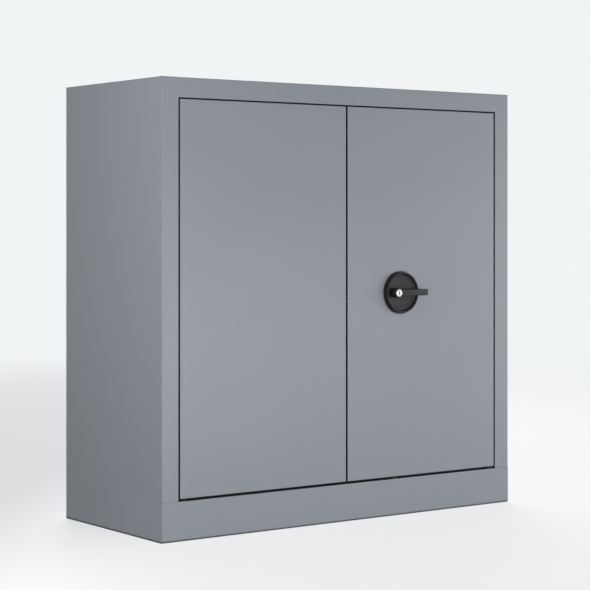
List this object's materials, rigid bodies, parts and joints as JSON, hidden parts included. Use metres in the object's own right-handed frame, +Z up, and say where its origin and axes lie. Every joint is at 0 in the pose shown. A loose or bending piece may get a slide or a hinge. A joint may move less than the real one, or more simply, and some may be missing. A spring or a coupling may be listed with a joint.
{
  "type": "tool cabinet",
  "caption": "Low free-standing sheet-steel tool cabinet with inset double doors, a plinth, a round dished lever lock that drives rack bolts, and adjustable shelves inside.",
  "frame": {"origin": "middle of the whole object's box, on the floor", "axes": "+Z up; -Y is the front, where the doors are; +X is the viewer's right, where the door with the lever hangs"},
  "size_m": [1, 0.4466, 1],
  "materials": {
    "paint": "smooth satin powder coat",
    "handle": "fine matt moulded black",
    "lever": "fine matt black coating on a zinc casting",
    "chrome": "polished nickel",
    "zinc": "bright zinc plate",
    "bare_steel": "bare machined steel",
    "nylon": "black moulded nylon",
    "black_pin": "black zinc plate on steel",
    "rubber": "soft black rubber"
  },
  "bodies": {
    "carcass": {"side_left": "paint", "side_right": "paint", "top_panel": "paint", "back_panel": "paint", "floor_panel": "paint", "plinth_front": "paint", "plinth_rear": "paint", "base_gussets": "paint", "top_stiffener": "paint", "floor_stiffener": "paint", "upright_front_left": "paint", "upright_front_right": "paint", "upright_rear_left": "paint", "upright_rear_right": "paint", "shelf_lower": "paint", "shelf_upper": "paint", "shelf_clips": "zinc", "pivot_pins": "black_pin", "pivot_nuts": "zinc", "pivot_washers": "nylon", "door_stop_top": "paint", "door_stop_bottom": "paint", "door_buffers": "rubber"},
    "left_door": {"left_door_skin": "paint", "left_door_stiffener": "paint", "left_door_brackets": "zinc", "left_door_bushes": "nylon", "bolt_keeper": "zinc"},
    "right_door": {"right_door_skin": "paint", "right_door_stiffener": "paint", "right_door_brackets": "zinc", "right_door_bushes": "nylon", "escutcheon": "handle", "escutcheon_screws": "zinc", "lock_case": "zinc", "lock_cover": "zinc", "cover_screws": "zinc", "rod_guide_upper": "nylon", "rod_guide_lower": "nylon"},
    "lever": {"lever_handle": "lever", "lock_cylinder": "chrome", "spindle": "bare_steel", "pinion": "bare_steel", "spindle_washer": "zinc", "spindle_screw": "zinc"},
    "key_plug": {"lock_plug": "chrome", "lock_cam": "bare_steel"},
    "upper_bolt": {"top_rack": "zinc", "top_rod": "zinc"},
    "lower_bolt": {"bottom_rack": "zinc", "bottom_rod": "zinc"},
    "side_bolt": {"middle_bolt": "zinc"}
  },
  "joints": [
    {"name": "left_door_hinge", "type": "hinge", "parent": "carcass", "child": "left_door", "pos_m": [-0.4415, -0.18875, 0.52225], "axis": [0, 0, -1], "range_deg": [0, 110]},
    {"name": "right_door_hinge", "type": "hinge", "parent": "carcass", "child": "right_door", "pos_m": [0.4415, -0.18875, 0.52225], "axis": [0, 0, 1], "range_deg": [0, 110]},
    {"name": "lever_turn", "type": "hinge", "parent": "right_door", "child": "lever", "pos_m": [0.13425, -0.19675, 0.52225], "axis": [0, 1, 0], "range_deg": [0, 90]},
    {"name": "key_turn", "type": "hinge", "parent": "lever", "child": "key_plug", "pos_m": [0.13425, -0.19675, 0.52225], "axis": [0, 1, 0], "range_deg": [0, 90]},
    {"name": "upper_bolt_slide", "type": "slide", "parent": "right_door", "child": "upper_bolt", "axis": [0, 0, 1], "range_m": [0, 0.019]},
    {"name": "lower_bolt_slide", "type": "slide", "parent": "right_door", "child": "lower_bolt", "axis": [0, 0, -1], "range_m": [0, 0.019]},
    {"name": "side_bolt_slide", "type": "slide", "parent": "right_door", "child": "side_bolt", "axis": [-1, 0, 0], "range_m": [0, 0.019]}
  ],
  "couplings": [
    {"joint": "upper_bolt_slide", "follows": "lever_turn", "m_per_rad": 0.012},
    {"joint": "lower_bolt_slide", "follows": "lever_turn", "m_per_rad": 0.012},
    {"joint": "side_bolt_slide", "follows": "lever_turn", "m_per_rad": 0.012}
  ]
}
